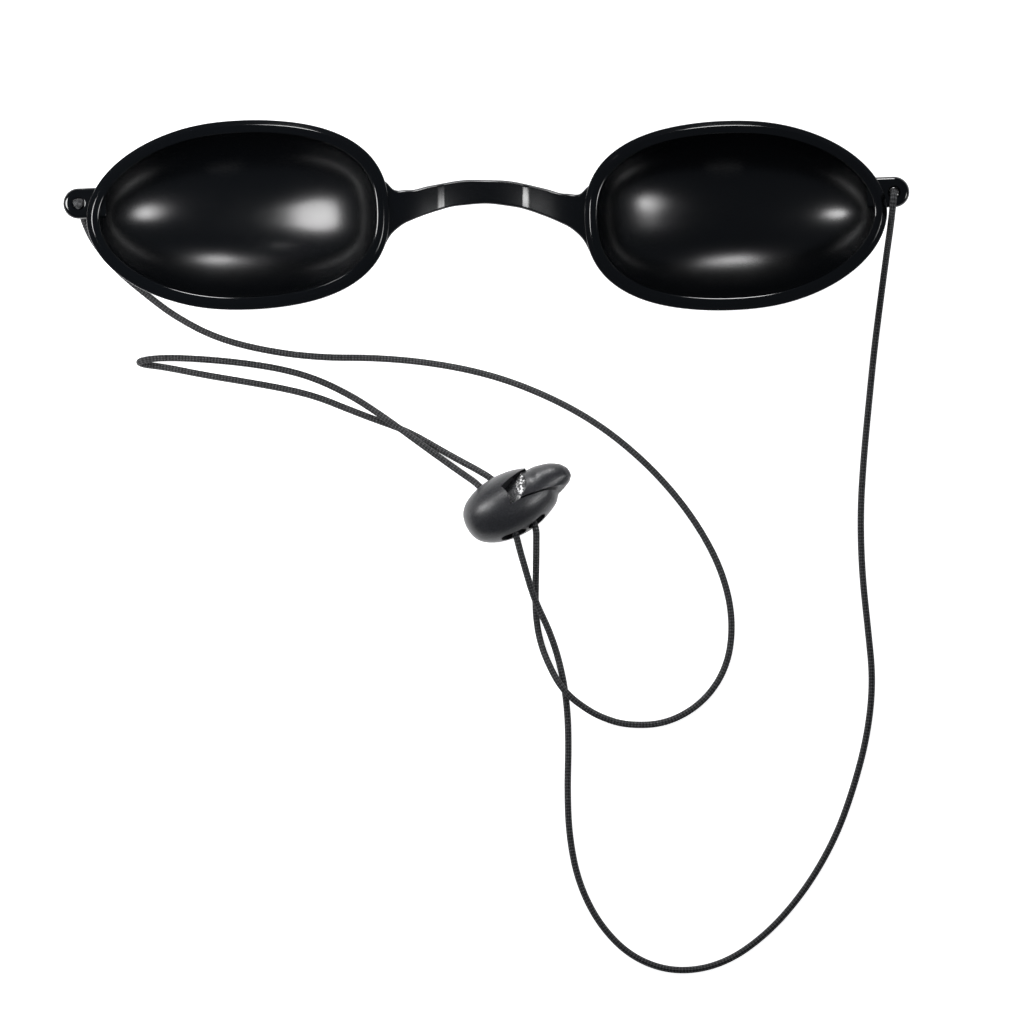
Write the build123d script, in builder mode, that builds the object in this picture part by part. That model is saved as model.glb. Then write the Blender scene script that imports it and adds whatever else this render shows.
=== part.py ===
# Tanning goggles: a one-piece opaque eye shield on an elastic cord with a sprung cord lock.
#
# The goggles lie on their domes with the eye side up. The origin is at the middle of the eye
# shield, on the surface that it rests on. +X runs to the right-hand cup of the view from above,
# +Y to the brow and +Z out of the cups. Lengths are in millimetres.

import math
import os

from build123d import *

# Eye shield, driving sizes
CUP_SPREAD = 42.3          # middle of a cup from the middle of the nose
CUP_NOSE_LENGTH = 25.75    # cup centre to the edge beside the nose
CUP_TEMPLE_LENGTH = 25.5   # cup centre to the edge at the temple
CUP_HALF_HEIGHT = 16.05    # cup centre to the brow or cheek edge
NOSE_ROUND_SHARE = 2.5     # superellipse exponent of the blunt nose half
TEMPLE_ROUND_SHARE = 1.93  # superellipse exponent of the pointed temple half
CUP_DEPTH = 14.0           # rim face to the outside of the dome
RIM_WIDTH = 2.2            # flat and rounds of the rim, across
RIM_HEIGHT = 2.6           # depth of the rim bead
RIM_STEP = 0.7             # how far the bead stands out past the dome
RIM_OUTER_ROUND = 0.9
RIM_LOWER_ROUND = 0.4
RIM_INNER_ROUND = 0.45
CUP_FLOOR = 1.3            # wall at the bottom of the dome
OUTLINE_POINTS = 24        # points of one cup outline
DOME_ANGLES = (0, 20, 38, 54, 68, 83)    # where the dome's sections lie, degrees down its curve

# Nose bridge
BRIDGE_THICKNESS = 1.5
BRIDGE_HEIGHT = 3.9        # strip across its narrow middle
BRIDGE_FLARE = 9.4         # strip across where it meets a cup
BRIDGE_RISE = 4.25         # middle of the strip above the cups' centre line
BRIDGE_ROOT_RISE = 1.3     # end of the strip above the cups' centre line
BRIDGE_ARCH = 4.7          # how far the strip dips away from the face
BRIDGE_ROOT_DROP = 1.75    # rim face to the middle of the strip where it meets a cup
BRIDGE_BITE = 1.0          # how far the strip runs into the rim bead
BRIDGE_CORNER = 0.55       # round along the strip's edges
# Stations along half the bridge: reach, rise, arch and height, each a share of its whole
BRIDGE_STATION_SHARES = (
    (1.0, 0.0, 0.0, 1.0),
    (0.93, 0.05, 0.03, 0.62),
    (0.84, 0.13, 0.12, 0.27),
    (0.72, 0.33, 0.30, 0.13),
    (0.52, 0.66, 0.62, 0.12),
    (0.27, 0.91, 0.90, 0.06),
    (0.0, 1.0, 1.0, 0.0),
)

# Strap tabs
TAB_STANDOFF = 1.3         # tab hole past the cup's edge at the temple
TAB_RISE = 3.0             # tab hole above the cups' centre line
TAB_RADIUS = 2.55
TAB_THICKNESS = 1.8
TAB_DROP = 1.1             # rim face to the top of the tab
TAB_ROUND = 0.4
TAB_HOLE_RADIUS = 0.8
TAB_SINK_RADIUS = 1.25     # countersink on the eye side
TAB_BITE = 3.3             # how far the tab runs in under the rim from the cup's edge

# Elastic cord
CORD_DIAMETER = 1.0
KNOT_RADIUS = 1.15
KNOT_CUT = 0.5             # middle of a knot to the flat that the cord leaves
KNOT_GAP = 0.1             # right knot to the tab it bears on
ARC_SHARE = 0.45           # share of the shorter run that each bend of the cord takes up

# Left stretch, from the knot on the left tab to the far side of the lock
LEFT_ROUTE = (
    (-69.1, 3.0, 12.9), (-69.1, 3.0, 9.6), (-68.5, 0.3, 8.3), (-67.3, -3.3, 6.4),
    (-65.3, -6.5, 4.1), (-62.4, -9.6, 2.2), (-58.6, -12.8, 0.8), (-53.4, -16.8, 0.5),
    (-46.4, -20.5, 0.5), (-38.0, -22.7, 0.5), (-28.6, -23.9, 0.5), (-18.4, -23.9, 0.5),
    (-8.4, -24.9, 0.5), (1.0, -26.9, 0.5), (9.6, -30.1, 0.5), (17.6, -34.3, 0.5),
    (24.8, -39.7, 0.5), (31.2, -46.1, 0.5), (36.4, -53.1, 0.5), (40.2, -60.5, 0.5),
    (42.0, -68.3, 0.5), (41.2, -76.3, 0.5), (37.2, -82.6, 0.5), (30.8, -86.4, 0.5),
    (23.9, -87.1, 0.9), (18.2, -85.2, 3.2), (13.9, -81.9, 4.5), (11.4, -78.5, 4.5),
    (9.6, -74.2, 2.6), (8.6, -69.8, 0.6), (8.2, -65.2, 0.5), (8.1, -61.4, 1.7),
    (8.5, -58.9, 4.2), (9.5, -56.8, 6.8), (10.15, -54.9, 8.2), (10.07, -53.33, 8.42),
    (9.05, -52.39, 7.84),
)
# Right stretch, from the knot under the right tab to the far side of the lock
RIGHT_ROUTE = (
    (69.1, 3.0, 11.0), (69.1, 3.0, 14.3), (69.0, -0.6, 14.2), (68.7, -2.8, 11.2),
    (68.3, -5.6, 7.4), (67.8, -9.8, 3.9), (67.1, -15.2, 1.2), (66.1, -22.4, 0.5),
    (65.2, -31.4, 0.5), (64.3, -40.8, 0.5), (63.7, -50.6, 0.5), (64.0, -60.6, 0.5),
    (65.0, -70.0, 0.5), (65.9, -79.0, 0.5), (65.0, -88.0, 0.5), (62.7, -97.0, 0.5),
    (59.5, -105.9, 0.5), (54.5, -114.6, 0.5), (48.0, -122.2, 0.5), (40.4, -127.5, 0.5),
    (32.2, -128.9, 0.5), (24.8, -126.4, 0.5), (19.2, -120.8, 0.5), (15.6, -113.6, 0.5),
    (14.0, -105.6, 0.5), (13.7, -97.0, 0.5), (14.0, -88.8, 0.5), (13.3, -81.6, 0.5),
    (12.2, -76.4, 0.9), (10.8, -71.8, 2.8), (9.2, -67.2, 4.5), (7.9, -63.4, 4.9),
    (6.7, -60.0, 6.3), (6.3, -57.4, 7.8), (6.24, -55.33, 8.41), (5.45, -54.32, 7.85),
)
# Pull loop, from strand one's exit through the lock, round the fold and back to strand two's exit
LOOP_ROUTE = (
    (5.45, -54.32, 7.85), (-0.93, -46.14, 3.29), (-4.1, -44.0, 1.8), (-7.8, -41.4, 2.4),
    (-11.4, -38.7, 4.5), (-16.2, -35.0, 4.5), (-20.6, -31.6, 2.2), (-26.4, -28.5, 0.5),
    (-33.4, -26.4, 0.5), (-41.4, -24.8, 0.5), (-49.0, -24.1, 0.9), (-55.2, -23.9, 2.7),
    (-59.2, -24.4, 2.9), (-59.2, -25.0, 0.5), (-55.0, -25.5, 0.5), (-48.0, -26.9, 0.5),
    (-39.5, -28.3, 0.5), (-31.0, -29.8, 0.5), (-23.6, -32.4, 0.5), (-16.8, -35.6, 0.5),
    (-10.6, -38.2, 0.5), (-4.9, -41.0, 0.5), (1.1, -45.06, 3.29), (9.05, -52.39, 7.84),
)

# Cord lock, in its own frame: X along the button's travel, Z up through the window
LOCK_PLACE = (3.9, -49.05)
LOCK_TURN = 28.0           # long axis, anticlockwise from +X in plan, degrees
LOCK_ROLL = 24.0           # exit side tipped up, degrees
BALL_END = 8.3             # lock's middle to the closed end of the housing
BALL_RADIUS = 5.45         # half thickness of the bean at its fullest
# Profile of the housing: places in half lengths of the ball end, half thicknesses in ball radii
HOUSING_SHARES = (
    (-1.0, 0), (-0.7, 0.77), (-0.04, 1.0), (0.4, 0.925), (0.74, 0.725), (0.9, 0.565), (1.0, 0.4), (1.07, 0),
)
STEM_EXIT_WIDTH = 2.0      # middle of the stem to its side by the exit slots
STEM_ENTRY_WIDTH = 2.85    # middle of the stem to its side by the entry slot
STEM_HALF_HEIGHT = 3.1
STEM_END = -4.2            # inner end of the stem at rest
STEM_SHOULDER = 1.9        # length of the stem's rounded end
STEM_ROOT = 4.45           # end of the stem inside the head
BUTTON_TRAVEL = 1.3
STEM_CLEARANCE = 0.1
WINDOW_START = 0.1         # edge of the ball lobe over the stem
WINDOW_BULGE = 0.45        # how far that edge is rounded out
WINDOW_RISE = 1.55         # its end towards the entry side
ROOF_END = 5.2             # end of the thin roof that the head slides under
ROOF_TIP_RISE = 3.5        # where the roof's edge ends, towards the entry side
HEAD_MIDDLE = 4.5
HEAD_HALF_LENGTH = 7.0
HEAD_RADIUS = 4.85
# Profile of the head: places in half lengths of the head, half thicknesses in head radii.
# From the window to past the roof it only grows thinner, so that it slides in freely.
HEAD_SHARES = (
    (-1.0, 0), (-0.8, 0.84), (-0.43, 1.0), (-0.11, 0.928), (0.1, 0.815), (0.29, 0.78), (0.47, 0.75),
    (0.74, 0.6), (0.92, 0.36), (1.0, 0),
)
HEAD_EDGE_SWEEP = 2.8      # how far the head's near edge sweeps back over the stem
# Near edge of the head: places along the sweep, and across the stem from its exit side
HEAD_EDGE_SHARES = ((0, 0), (0.68, 0.26), (1.0, 0.6), (0.9, 0.95))
SPRING_BORE_RADIUS = 1.75
SPRING_BORE_END = -7.1
SPRING_WIRE = 0.28
SPRING_RADIUS = 1.3        # middle of the wire
SPRING_TURNS = 3
SPRING_SEAT_GAP = 0.05
SPRING_PIN_RADIUS = 0.75
SPRING_PIN_LENGTH = 0.8
SLOT_HEIGHT = 1.9
EXIT_SLOTS = ((-1.75, 4.5), (2.75, 3.5))   # middle and length of the two exit slots
ENTRY_SLOT = (-1.05, 6.1)                  # middle and length of the one entry slot
STEM_SLOT = (0.75, 7.9)                    # middle and length of the slot through the stem

OVERRUN = 30.0             # how far cuts run past what they cut


def ovoid(nose_length, temple_length, half_height):
    """Points of a cup outline, from the nose edge round; +X is the nose side."""
    points = []
    for step in range(OUTLINE_POINTS):
        turn = 2 * math.pi * step / OUTLINE_POINTS
        across, up = math.cos(turn), math.sin(turn)
        nose_side = across >= 0
        power = 2 / (NOSE_ROUND_SHARE if nose_side else TEMPLE_ROUND_SHARE)
        length = nose_length if nose_side else temple_length
        x = math.copysign(length * abs(across) ** power, across)
        y = math.copysign(half_height * abs(up) ** power, up)
        points.append((x, y))
    return points


def cup_outline(inset, size_share=1.0):
    """Points of the left cup's outline drawn in by inset, then scaled about the cup's centre."""
    points = ovoid(
        (CUP_NOSE_LENGTH - inset) * size_share,
        (CUP_TEMPLE_LENGTH - inset) * size_share,
        (CUP_HALF_HEIGHT - inset) * size_share,
    )
    return [(-CUP_SPREAD + x, y) for x, y in points]


def dome(inset, top, depth):
    """Solid bowl form: sections that shrink along a quarter ellipse below the height top."""
    with BuildPart() as bowl:
        for angle in DOME_ANGLES:
            fall = depth * math.sin(math.radians(angle)) / math.sin(math.radians(DOME_ANGLES[-1]))
            with BuildSketch(Plane.XY.offset(top - fall)):
                with BuildLine():
                    Spline(*cup_outline(inset, math.cos(math.radians(angle))), periodic=True)
                make_face()
        loft()
    return bowl.part


def left_cup():
    """One cup: rim bead and dome, hollowed from the eye side."""
    rim_bottom = CUP_DEPTH - RIM_HEIGHT
    with BuildPart() as cup:
        with BuildSketch(Plane.XY.offset(rim_bottom)):
            with BuildLine():
                Spline(*cup_outline(0), periodic=True)
            make_face()
        extrude(amount=RIM_HEIGHT)
        fillet(cup.faces().sort_by(Axis.Z)[-1].edges(), RIM_OUTER_ROUND)
        fillet(cup.faces().sort_by(Axis.Z)[0].edges(), RIM_LOWER_ROUND)
        add(dome(RIM_STEP, rim_bottom + RIM_LOWER_ROUND, rim_bottom + RIM_LOWER_ROUND))
        add(dome(RIM_WIDTH, CUP_DEPTH, CUP_DEPTH - CUP_FLOOR), mode=Mode.SUBTRACT)
        mouth = cup.faces().filter_by(Plane.XY).sort_by(Axis.Z)[-1].inner_wires()[0].edges()
        fillet(mouth, RIM_INNER_ROUND)
    return cup.part


def bridge():
    """Arched nose strip: rounded sections along the arch, flared where it meets the cups."""
    half_span = CUP_SPREAD - CUP_NOSE_LENGTH + BRIDGE_BITE
    root_height = CUP_DEPTH - BRIDGE_ROOT_DROP
    stations = []
    for reach, rise, arch, flare in BRIDGE_STATION_SHARES:
        stations.append((
            reach * half_span,
            BRIDGE_ROOT_RISE + rise * (BRIDGE_RISE - BRIDGE_ROOT_RISE),
            root_height - arch * BRIDGE_ARCH,
            BRIDGE_HEIGHT + flare * (BRIDGE_FLARE - BRIDGE_HEIGHT),
        ))
    across = [(-x, y, z, h) for x, y, z, h in stations] + stations[-2::-1]
    with BuildPart() as strip:
        for place, (x, y, z, height) in enumerate(across):
            before = across[max(place - 1, 0)]
            after = across[min(place + 1, len(across) - 1)]
            heading = Vector(after[0] - before[0], 0, after[2] - before[2]).normalized()
            section = Plane(origin=(x, y, z), x_dir=(0, 1, 0), z_dir=heading)
            with BuildSketch(section):
                RectangleRounded(height, BRIDGE_THICKNESS, BRIDGE_CORNER)
        loft()
    return strip.part


def left_tab():
    """Flat strap tab under the rim, with a countersunk hole for the cord."""
    top = CUP_DEPTH - TAB_DROP
    with BuildPart() as tab:
        with BuildSketch(Plane.XY.offset(top)):
            with Locations((-tab_reach, TAB_RISE)):
                Circle(TAB_RADIUS)
            with Locations((-tab_reach + (TAB_STANDOFF + TAB_BITE) / 2, TAB_RISE)):
                Rectangle(TAB_STANDOFF + TAB_BITE, 2 * TAB_RADIUS)
        extrude(amount=-TAB_THICKNESS)
        ends = tab.faces().filter_by(Plane.XY).edges().filter_by(GeomType.CIRCLE)
        sides = tab.faces().filter_by(Plane.XY).edges().filter_by(Axis.X)
        fillet(ends + sides, TAB_ROUND)
        with Locations((-tab_reach, TAB_RISE, top)):
            CounterSinkHole(TAB_HOLE_RADIUS, TAB_SINK_RADIUS, depth=TAB_THICKNESS)
        with BuildSketch():
            with BuildLine():
                Spline(*cup_outline(RIM_WIDTH / 2), periodic=True)
            make_face()
        extrude(amount=CUP_DEPTH, mode=Mode.SUBTRACT)
    return tab.part


tab_reach = CUP_SPREAD + CUP_TEMPLE_LENGTH + TAB_STANDOFF
cup_form = left_cup()
tab_form = left_tab()
strip_form = bridge()

# Eye shield: both cups, the bridge and the tabs are one moulding
with BuildPart() as eye_shield:
    add(cup_form)
    add(tab_form)
    mirror(about=Plane.YZ)
    add(strip_form)


def bean(profile):
    """Solid of revolution about X from its profile of places and half thicknesses."""
    with BuildPart() as body:
        with BuildSketch(Plane.XZ):
            with BuildLine():
                curve = Spline(*profile, tangents=((0, 1), (0, -1)))
                Line(curve @ 1, curve @ 0)
            make_face()
        revolve(axis=Axis.X)
    return body.part


def head_form(grow):
    """Outer form of the button's head, grown by a clearance."""
    return bean([
        (HEAD_MIDDLE + place * (HEAD_HALF_LENGTH + grow), share * (HEAD_RADIUS + grow))
        for place, share in HEAD_SHARES
    ])


def tongue(end, far, grow):
    """Round-ended flat tongue along X, from its tip at end, grown by a clearance."""
    half = STEM_HALF_HEIGHT + grow
    shoulder = end + STEM_SHOULDER
    with BuildPart() as body:
        with BuildSketch(Plane.XZ):
            with BuildLine():
                ThreePointArc((shoulder, half), (end, 0), (shoulder, -half))
                Polyline((shoulder, -half), (far, -half), (far, half), (shoulder, half))
            make_face()
        extrude(amount=STEM_EXIT_WIDTH + grow)
        extrude(body.faces().filter_by(Axis.Y).sort_by(Axis.Y)[-1], amount=STEM_ENTRY_WIDTH + grow)
    return body.part


def slot_through(middle, length, low, high):
    """Rounded slot across the lock, from y = low to y = high."""
    with BuildPart() as slot:
        with BuildSketch(Plane.XZ.offset(-high)):
            with Locations((middle, 0)):
                SlotOverall(length, SLOT_HEIGHT)
        extrude(amount=high - low)
    return slot.part


def between(low_x, high_x, low_y, high_y):
    """Box the full height of the lock between two places along it and two across it."""
    with BuildPart() as block:
        with BuildSketch():
            with Locations(((low_x + high_x) / 2, (low_y + high_y) / 2)):
                Rectangle(high_x - low_x, high_y - low_y)
        extrude(amount=OVERRUN, both=True)
    return block.part


def past_window():
    """All that the window takes from the housing, from its round near edge and its roof's edge on."""
    side = -exit_wall
    with BuildPart() as block:
        with BuildSketch():
            with BuildLine():
                near = ThreePointArc(
                    (WINDOW_START, side),
                    (WINDOW_START + WINDOW_BULGE, (WINDOW_RISE + side) / 2),
                    (WINDOW_START, WINDOW_RISE),
                )
                Polyline(
                    near @ 1, (ROOF_END, ROOF_TIP_RISE), (ROOF_END, OVERRUN), (OVERRUN, OVERRUN),
                    (OVERRUN, side), near @ 0,
                )
            make_face()
        extrude(amount=OVERRUN, both=True)
    return block.part


def short_of_head():
    """All that lies short of the head's near edge: a slant, then a round sweep under the roof."""
    corner, slant_end, sweep_middle, sweep_end = head_edge
    with BuildPart() as block:
        with BuildSketch():
            with BuildLine():
                Polyline((corner[0], -OVERRUN), corner, slant_end)
                ThreePointArc(slant_end, sweep_middle, sweep_end)
                Polyline(
                    sweep_end, (sweep_end[0], OVERRUN), (-OVERRUN, OVERRUN), (-OVERRUN, -OVERRUN),
                    (corner[0], -OVERRUN),
                )
            make_face()
        extrude(amount=OVERRUN, both=True)
    return block.part


def cylinder_along(start, end, radius):
    """Round bar along the lock's middle line."""
    with BuildPart() as bar:
        with BuildSketch(Plane.YZ.offset(start)):
            Circle(radius)
        extrude(amount=end - start)
    return bar.part


exit_wall = STEM_EXIT_WIDTH + STEM_CLEARANCE
head_start = WINDOW_START + BUTTON_TRAVEL + 2 * STEM_CLEARANCE
head_edge = [
    (
        head_start + along * HEAD_EDGE_SWEEP,
        -STEM_EXIT_WIDTH + across * (STEM_EXIT_WIDTH + STEM_ENTRY_WIDTH),
    )
    for along, across in HEAD_EDGE_SHARES
]
hollow_start = head_edge[-1][0] - BUTTON_TRAVEL - 2 * STEM_CLEARANCE
housing_cuts = [
    tongue(STEM_END - BUTTON_TRAVEL - STEM_CLEARANCE, OVERRUN, STEM_CLEARANCE),
    past_window(),
    between(hollow_start, OVERRUN, 0, OVERRUN) & head_form(STEM_CLEARANCE),
    slot_through(*ENTRY_SLOT, 0, OVERRUN),
    cylinder_along(SPRING_BORE_END, STEM_END, SPRING_BORE_RADIUS),
] + [slot_through(*slot, -OVERRUN, 0) for slot in EXIT_SLOTS]
whole_bean = bean([(place * BALL_END, share * BALL_RADIUS) for place, share in HOUSING_SHARES])

# Lock housing: ball lobe with the spring bore, a jaw on the exit side and a thin roof over the head
with BuildPart() as lock_housing:
    add(whole_bean)
    for cut in housing_cuts:
        add(cut, mode=Mode.SUBTRACT)

# Lock button: tongue that the cord passes through, and the head that the thumb presses
whole_head = head_form(0)
head_cuts = [short_of_head(), between(-OVERRUN, OVERRUN, -OVERRUN, -STEM_EXIT_WIDTH)]
stem = tongue(STEM_END, STEM_ROOT, 0)
cord_window = slot_through(*STEM_SLOT, -STEM_EXIT_WIDTH, STEM_ENTRY_WIDTH)
spring_pin = cylinder_along(STEM_END - SPRING_PIN_LENGTH, STEM_END + STEM_CLEARANCE, SPRING_PIN_RADIUS)
with BuildPart() as lock_button:
    add(whole_head)
    for cut in head_cuts:
        add(cut, mode=Mode.SUBTRACT)
    add(stem)
    add(cord_window, mode=Mode.SUBTRACT)
    add(spring_pin)

# Lock spring: a short compression coil between the ball lobe and the stem
spring_start = SPRING_BORE_END + SPRING_WIRE / 2 + SPRING_SEAT_GAP
spring_length = STEM_END - SPRING_BORE_END - SPRING_WIRE - 2 * SPRING_SEAT_GAP
spring_pitch = spring_length / SPRING_TURNS
with BuildPart() as lock_spring:
    with BuildLine():
        coil = Helix(
            spring_pitch, spring_length, SPRING_RADIUS, center=(spring_start, 0, 0), direction=(1, 0, 0)
        )
    with BuildSketch(Plane(origin=coil @ 0, z_dir=coil % 0)):
        Circle(SPRING_WIRE / 2)
    sweep(is_frenet=True)

# Where the lock stands: its long axis turned in plan and its exit side rolled up
long_axis = Vector(1, 0, 0).rotate(Axis.Z, LOCK_TURN)
lock_up = Vector(0, 0, 1).rotate(Axis((0, 0, 0), tuple(long_axis)), -LOCK_ROLL)
lock_plane = Plane(origin=(*LOCK_PLACE, BALL_RADIUS), x_dir=long_axis, z_dir=lock_up)


def bend_radii(route):
    """Radius of each bend: a share of its shorter run over the tangent of half its turn."""
    radii = []
    for before, here, after in zip(route, route[1:], route[2:]):
        run_in, run_out = Vector(here) - Vector(before), Vector(after) - Vector(here)
        half_turn = math.radians(run_in.get_angle(run_out)) / 2
        radii.append(ARC_SHARE * min(run_in.length, run_out.length) / math.tan(half_turn))
    return radii


def cord_tube(name, route):
    """Round cord along a route of straight runs and tangent arcs."""
    radii = bend_radii(route)
    print(name, "bend radii:", " ".join(f"{radius:.1f}" for radius in radii))
    with BuildPart() as tube:
        with BuildLine() as path:
            FilletPolyline(*route, radius=radii)
        line = path.wires()[0]
        with BuildSketch(Plane(origin=line @ 0, z_dir=line % 0)):
            Circle(CORD_DIAMETER / 2)
        sweep()
    expected = math.pi * CORD_DIAMETER**2 / 4 * line.length
    print(f"  length {line.length:.1f}, volume {tube.part.volume:.2f}, section by length {expected:.2f}")
    return tube.part


def knot(place, up):
    """Stopper knot as a cut ball: flat where the cord leaves it, on the side that up names."""
    with BuildPart() as ball:
        with Locations(place):
            Sphere(KNOT_RADIUS)
        split(bisect_by=Plane(place).offset(up * KNOT_CUT), keep=Keep.BOTTOM if up > 0 else Keep.TOP)
    return ball.part


tab_top = CUP_DEPTH - TAB_DROP
tab_bottom = tab_top - TAB_THICKNESS
cord_left = cord_tube("cord_left", LEFT_ROUTE)
cord_right = cord_tube("cord_right", RIGHT_ROUTE)
cord_pull_loop = cord_tube("cord_pull_loop", LOOP_ROUTE)
knot_left = knot((-tab_reach, TAB_RISE, tab_top + KNOT_CUT), -1)
knot_right = knot((tab_reach, TAB_RISE, tab_bottom - KNOT_GAP - KNOT_CUT), 1)

os.makedirs("parts", exist_ok=True)
for name, piece in (
    ("eye_shield", eye_shield.part),
    ("cord_left", cord_left),
    ("cord_right", cord_right),
    ("cord_pull_loop", cord_pull_loop),
    ("knot_left", knot_left),
    ("knot_right", knot_right),
    ("lock_housing", lock_plane.location * lock_housing.part),
    ("lock_button", lock_plane.location * lock_button.part),
    ("lock_spring", lock_plane.location * lock_spring.part),
):
    piece.label = name
    export_step(piece, f"parts/{name}.step")
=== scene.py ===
# Tanning goggles seen from straight above, eye side up, with the elastic laid out below them.
#
# The scene is in metres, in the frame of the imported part. Sizes are written in millimetres.

import math

import bmesh
import bpy
import numpy as np
from mathutils import Matrix, Vector


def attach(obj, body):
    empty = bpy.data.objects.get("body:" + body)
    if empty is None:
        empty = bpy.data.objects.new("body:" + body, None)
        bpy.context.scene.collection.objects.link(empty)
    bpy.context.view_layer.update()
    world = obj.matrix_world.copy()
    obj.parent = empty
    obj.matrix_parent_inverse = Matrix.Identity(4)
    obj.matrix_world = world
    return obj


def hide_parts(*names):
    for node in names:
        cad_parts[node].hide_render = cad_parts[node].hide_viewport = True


MM = 0.001

# The photograph's frame
IMAGE_PIXELS = 1024
PIXEL = 0.17                  # one pixel of the photograph at the goggles
VIEW_CENTRE = (4.25, -50.24)  # what the middle of the picture shows
CAMERA_HEIGHT = 1500.0
FOCUS_HEIGHT = 7.0            # height at which PIXEL holds
SENSOR = 36.0

# Eye shield: plan sizes and depth as in the solid, its rim and bridge finer
CUP_SPREAD = 42.3
CUP_NOSE_LENGTH = 25.75
CUP_TEMPLE_LENGTH = 25.5
CUP_HALF_HEIGHT = 16.05
NOSE_ROUND = 2.5
TEMPLE_ROUND = 1.93
CUP_DEPTH = 14.0
CUP_TURN = 2.1                # each cup lies turned about its own middle, as the bridge has flexed
RIM_WIDTH = 2.2
RIM_HEIGHT = 2.6
RIM_STEP = 0.7
RIM_WALL_DROP = 0.72          # rim top to where its outer wall starts to lean in
RIM_RIDGE_INSET = 0.92
RIM_RIDGE_LIFT = 0.05
RIM_LAND_FALL = 0.12          # the land falls this much from its ridge to the mouth
RIM_LOWER_ROUND = 0.4
RIM_WALL_ROUND = 0.3
RIM_RIDGE_ROUND = 0.35
RIM_INNER_ROUND = 0.45
CUP_FLOOR = 1.3
ARC_DEGREES = 5.0
OUTLINE_POINTS = 24
RING_POINTS = 224
DOME_RINGS = 40
HOLLOW_RINGS = 64

# Heights between which the satin finish gives way to the rim's polish
POLISH_START = 11.8
POLISH_END = 12.9

BRIDGE_THICKNESS = 1.5
BRIDGE_HEIGHT = 4.06
BRIDGE_FLARE = 11.6
BRIDGE_RISE = 4.12
BRIDGE_ROOT_RISE = -0.2
BRIDGE_TWIST = 0.4            # the left root lies this much higher in plan, the right one lower
BRIDGE_ARCH = 3.1
BRIDGE_ROOT_DROP = 2.0
BRIDGE_BITE = 1.0
BRIDGE_CORNER = 0.55
BRIDGE_CORNER_STEPS = 6
BRIDGE_SECTIONS = 360
BRIDGE_STEP = 0.2             # the strip drops by a small step where its middle part starts
BRIDGE_STEP_LENGTH = 1.3
BRIDGE_STEP_MIDDLES = (-8.0, 6.8)
# Stations along half the bridge: reach, rise and height, each a share of its whole
BRIDGE_STATION_SHARES = (
    (1.05, -0.02, 1.16),
    (1.0, 0.0, 1.0),
    (0.955, 0.104, 0.721),
    (0.912, 0.139, 0.469),
    (0.866, 0.197, 0.324),
    (0.798, 0.312, 0.218),
    (0.729, 0.389, 0.145),
    (0.61, 0.556, 0.098),
    (0.493, 0.701, 0.065),
    (0.325, 0.88, 0.032),
    (0.211, 0.949, 0.032),
    (0.0, 1.0, 0.0),
)

TAB_REACH = 69.1
TAB_RISE = 3.0
TAB_RADIUS = 2.6
TAB_THICKNESS = 1.8
TAB_DROP = 1.1
TAB_ROUND = 0.75
TAB_HOLE_RADIUS = 0.8
TAB_SINK_RADIUS = 1.25
TAB_BITE = 4.6
TAB_POINTS = 96
TAB_SINK_STEPS = 8
TAB_ROUND_STEPS = 10

# Elastic cord, one length from the left tab, through the lock twice, to the right tab
CORD_DIAMETER = 1.14
CORD_SIDES = 20
BRAID_PITCH = 1.1
BRAID_STRANDS = 5             # strands that run each way round the cord
CORD_SMOOTH = 14              # points that the spline gives for each of the route's
LEFT_ROUTE = (
    (-69.19, 2.02, 12.9), (-69.19, 2.02, 9.6), (-68.6, -0.4, 8.2), (-67.4, -3.5, 6.4),
    (-65.3, -6.5, 4.1), (-62.4, -9.6, 2.2), (-58.6, -12.8, 0.8), (-53.4, -16.8, 0.57),
    (-46.4, -20.5, 0.57), (-38.0, -22.7, 0.57), (-28.6, -23.9, 0.57), (-18.4, -23.9, 0.57),
    (-8.4, -24.9, 0.57), (1.0, -26.9, 0.57), (9.6, -30.1, 0.57), (17.6, -34.3, 0.57),
    (24.8, -39.7, 0.57), (31.2, -46.1, 0.57), (36.4, -53.1, 0.57), (40.2, -60.5, 0.57),
    (42.0, -68.3, 0.57), (41.2, -76.3, 0.57), (37.2, -82.6, 0.57), (30.8, -86.4, 0.57),
    (23.9, -86.7, 0.6), (19.2, -85.2, 0.8), (16.1, -83.3, 1.5), (13.9, -81.5, 2.05),
    (12.1, -79.3, 2.05), (10.6, -76.4, 1.5), (9.4, -73.5, 0.8), (8.55, -70.0, 0.57),
    (8.25, -66.2, 0.57), (8.3, -62.4, 1.7), (8.36, -59.0, 4.1), (8.38, -56.0, 6.5),
    (8.4, -52.5, 7.75), (6.5, -50.1, 6.35),
)
LOOP_ROUTE = (
    (1.2, -44.8, 3.3), (-1.6, -43.1, 2.1), (-4.6, -41.5, 1.1), (-8.0, -39.6, 0.6),
    (-11.6, -37.5, 0.57),
    (-15.0, -35.9, 0.57), (-19.0, -34.5, 0.57), (-23.2, -32.9, 0.57), (-28.9, -30.6, 0.57),
    (-34.0, -29.3, 0.57), (-40.0, -28.2, 0.57), (-48.0, -26.9, 0.57),
    (-55.0, -25.5, 0.57), (-59.3, -25.0, 0.57), (-59.3, -24.4, 2.95), (-55.2, -23.9, 2.5),
    (-49.0, -24.1, 0.9), (-41.4, -24.8, 0.57), (-34.6, -25.9, 0.57), (-28.9, -27.6, 0.6),
    (-23.2, -30.4, 1.1), (-19.0, -33.1, 1.8), (-15.0, -35.9, 2.1), (-11.6, -38.4, 2.0),
    (-8.0, -41.0, 1.7), (-4.2, -43.7, 2.0), (-1.2, -45.75, 3.3), (2.9, -50.8, 5.95),
)
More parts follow.
